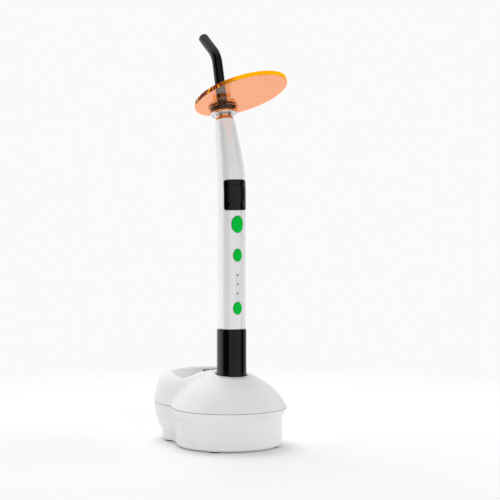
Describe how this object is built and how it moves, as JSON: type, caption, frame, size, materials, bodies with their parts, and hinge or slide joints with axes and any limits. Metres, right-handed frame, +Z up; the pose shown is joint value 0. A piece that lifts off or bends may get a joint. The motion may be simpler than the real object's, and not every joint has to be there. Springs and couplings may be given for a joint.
{
  "type": "dental curing light",
  "caption": "Cordless pen-shaped curing light with bent light guide, oval orange eye shield, buttons and display, standing in a rounded charging base with an open dish.",
  "frame": {"origin": "centre of the whole object's footprint, on the surface that the base stands on", "axes": "+Z up along the handpiece, -Y towards the side with the buttons and display, +X to the right of a person facing the buttons"},
  "size_m": [0.094, 0.1554, 0.3366],
  "materials": {
    "white_abs": "satin",
    "sleeve_black": "gloss",
    "silver_body": "satin",
    "black_bezel": "gloss",
    "display_glass": "gloss",
    "button_green": "satin",
    "light_pipe": "satin",
    "amber_acrylic": "gloss",
    "chrome": "polished",
    "black_glass": "gloss",
    "clear_glass": "polished",
    "black_rubber": "matt",
    "status_lens": "gloss",
    "bar_black": "satin",
    "black_plastic": "matt",
    "board": "satin",
    "contact_brass": "polished",
    "aluminium": "machined",
    "steel": "brushed",
    "cell_wrap": "gloss",
    "led_white": "satin"
  },
  "bodies": {
    "base": {"upper_cover": "white_abs", "lower_housing": "white_abs", "handpiece_socket": "white_abs", "ballast_weight": "steel", "charger_board": "board", "power_jack": "black_plastic", "contact_block": "black_plastic", "status_light_power": "status_lens", "status_light_charge": "status_lens", "status_light_ready": "status_lens", "indicator_bar": "bar_black", "foot_1": "black_rubber", "foot_2": "black_rubber", "foot_3": "black_rubber", "foot_4": "black_rubber", "cover_screw_1": "steel", "cover_screw_2": "steel", "cover_screw_3": "steel", "cover_screw_4": "steel"},
    "pin_centre": {"charge_pin_centre": "contact_brass"},
    "pin_side": {"charge_pin_side": "contact_brass"},
    "battery_pack": {"battery_sleeve": "sleeve_black", "battery_end_cap": "sleeve_black", "charge_contact_centre": "contact_brass", "charge_contact_ring": "contact_brass", "protection_board": "board", "battery_cell": "cell_wrap", "battery_head_cap": "black_plastic", "battery_top_contact": "contact_brass"},
    "main_body": {"body_shell": "silver_body", "display_bezel": "black_bezel", "display_lens": "display_glass", "display_module": "board", "main_board": "board", "power_switch": "steel", "mode_switch": "steel", "time_switch": "steel", "mode_light_pipe": "light_pipe", "beeper": "black_plastic", "battery_contact_spring": "contact_brass", "body_thread_ring": "aluminium", "heat_sink": "aluminium", "led_board": "aluminium", "led_chip": "led_white", "lens_holder": "black_plastic", "condenser_lens": "clear_glass", "nose_ring": "chrome"},
    "power_key": {"power_button": "button_green"},
    "mode_key": {"mode_button": "button_green"},
    "time_key": {"time_button": "button_green"},
    "guide_seat": {"guide_retaining_ring": "black_rubber"},
    "light_guide": {"guide_ferrule": "chrome", "light_guide_sheath": "black_glass", "light_guide_core": "clear_glass"},
    "shield": {"light_shield": "amber_acrylic", "shield_bush": "black_rubber"}
  },
  "joints": [
    {"name": "handpiece_lift", "type": "slide", "parent": "base", "child": "battery_pack", "axis": [0, 0, 1], "range_m": [0, 0.042]},
    {"name": "battery_release", "type": "slide", "parent": "battery_pack", "child": "main_body", "axis": [0, 0, 1], "range_m": [0, 0.008]},
    {"name": "power_press", "type": "slide", "parent": "main_body", "child": "power_key", "axis": [0, 1, 0], "range_m": [0, 0.0006], "stiffness_N_per_m": 2000, "springref_m": -0.0003},
    {"name": "mode_press", "type": "slide", "parent": "main_body", "child": "mode_key", "axis": [0, 1, 0], "range_m": [0, 0.0006], "stiffness_N_per_m": 2000, "springref_m": -0.0003},
    {"name": "time_press", "type": "slide", "parent": "main_body", "child": "time_key", "axis": [0, 1, 0], "range_m": [0, 0.0006], "stiffness_N_per_m": 2000, "springref_m": -0.0003},
    {"name": "guide_turn", "type": "hinge", "parent": "main_body", "child": "guide_seat", "pos_m": [0, 0.00198, 0.26483], "axis": [0, 0.2588, 0.9659], "continuous": true},
    {"name": "guide_pull", "type": "slide", "parent": "guide_seat", "child": "light_guide", "axis": [0, 0.2588, 0.9659], "range_m": [0, 0.012]},
    {"name": "shield_turn", "type": "hinge", "parent": "light_guide", "child": "shield", "pos_m": [0, 0.00457, 0.27449], "axis": [0, 0.2588, 0.9659], "continuous": true},
    {"name": "pin_centre_press", "type": "slide", "parent": "base", "child": "pin_centre", "axis": [0, 0, -1], "range_m": [0, 0.001], "stiffness_N_per_m": 400, "springref_m": -0.0003},
    {"name": "pin_side_press", "type": "slide", "parent": "base", "child": "pin_side", "axis": [0, 0, -1], "range_m": [0, 0.001], "stiffness_N_per_m": 400, "springref_m": -0.0003}
  ]
}
